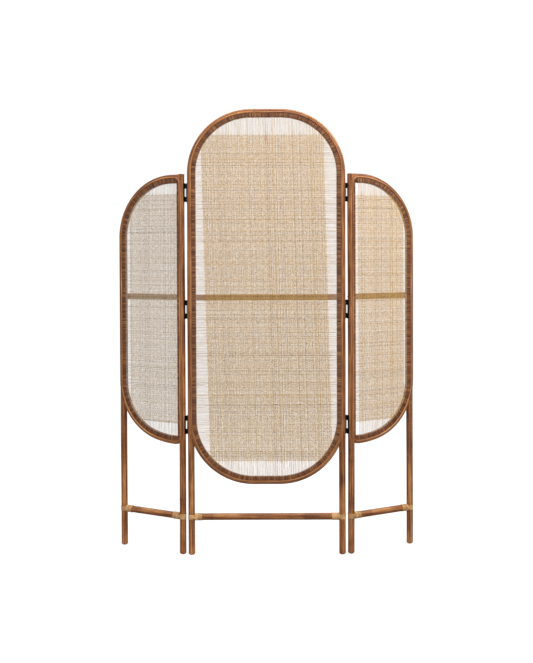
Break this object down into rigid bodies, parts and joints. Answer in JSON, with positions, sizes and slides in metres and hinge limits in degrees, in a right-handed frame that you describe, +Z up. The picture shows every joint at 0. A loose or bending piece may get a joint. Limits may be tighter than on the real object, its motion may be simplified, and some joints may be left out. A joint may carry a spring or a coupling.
{
  "type": "folding screen",
  "caption": "Folding room divider screen with arched bent-rattan panels, sheer woven raffia cloth and hinged side wings that fold back.",
  "frame": {"origin": "on the floor, at the middle of the standing screen's box, with both wings folded back 28 degrees", "axes": "+Z up, +X to the viewer's right, front of the screen faces -Y"},
  "size_m": [1.225, 0.1768, 1.8],
  "materials": {
    "rattan_pole": "satin, stained orange brown",
    "rattan_ring": "satin, stained orange brown",
    "rattan_bead": "satin, lighter brown",
    "wound_band": "wound thread, dark red brown",
    "rattan_peel": "split peel, light golden brown",
    "raffia_cloth": "open woven raffia, matt",
    "black_metal": "black paint",
    "screw_steel": "plated"
  },
  "bodies": {
    "centre_panel": {"centre_pole": "rattan_pole", "centre_ring": "rattan_ring", "centre_bead": "rattan_bead", "centre_band": "wound_band", "centre_cloth": "raffia_cloth", "centre_crossbar": "rattan_pole", "centre_stretcher": "rattan_pole", "centre_left_binding": "rattan_peel", "centre_right_binding": "rattan_peel", "centre_frame_screws": "screw_steel", "centre_rail_screws": "screw_steel", "left_lower_hinge_fixed_leaf": "black_metal", "left_lower_hinge_pin": "screw_steel", "left_middle_hinge_fixed_leaf": "black_metal", "left_middle_hinge_pin": "screw_steel", "left_upper_hinge_fixed_leaf": "black_metal", "left_upper_hinge_pin": "screw_steel", "left_centre_leaf_screws": "black_metal", "right_lower_hinge_fixed_leaf": "black_metal", "right_lower_hinge_pin": "screw_steel", "right_middle_hinge_fixed_leaf": "black_metal", "right_middle_hinge_pin": "screw_steel", "right_upper_hinge_fixed_leaf": "black_metal", "right_upper_hinge_pin": "screw_steel", "right_centre_leaf_screws": "black_metal"},
    "left_panel": {"left_hinge_leg": "rattan_pole", "left_bent_pole": "rattan_pole", "left_ring": "rattan_ring", "left_bead": "rattan_bead", "left_band": "wound_band", "left_cloth": "raffia_cloth", "left_crossbar": "rattan_pole", "left_stretcher": "rattan_pole", "left_hinge_binding": "rattan_peel", "left_outer_binding": "rattan_peel", "left_frame_screws": "screw_steel", "left_rail_screws": "screw_steel", "left_leaf_screws": "black_metal", "left_lower_hinge_moving_leaf": "black_metal", "left_middle_hinge_moving_leaf": "black_metal", "left_upper_hinge_moving_leaf": "black_metal"},
    "right_panel": {"right_hinge_leg": "rattan_pole", "right_bent_pole": "rattan_pole", "right_ring": "rattan_ring", "right_bead": "rattan_bead", "right_band": "wound_band", "right_cloth": "raffia_cloth", "right_crossbar": "rattan_pole", "right_stretcher": "rattan_pole", "right_hinge_binding": "rattan_peel", "right_outer_binding": "rattan_peel", "right_frame_screws": "screw_steel", "right_rail_screws": "screw_steel", "right_leaf_screws": "black_metal", "right_lower_hinge_moving_leaf": "black_metal", "right_middle_hinge_moving_leaf": "black_metal", "right_upper_hinge_moving_leaf": "black_metal"}
  },
  "joints": [
    {"name": "left_fold", "type": "hinge", "parent": "centre_panel", "child": "left_panel", "pos_m": [-0.3207, -0.05491, 0.988], "axis": [0, 0, -1], "range_deg": [-28, 152]},
    {"name": "right_fold", "type": "hinge", "parent": "centre_panel", "child": "right_panel", "pos_m": [0.3207, -0.05491, 0.988], "axis": [0, 0, 1], "range_deg": [-28, 152]}
  ]
}
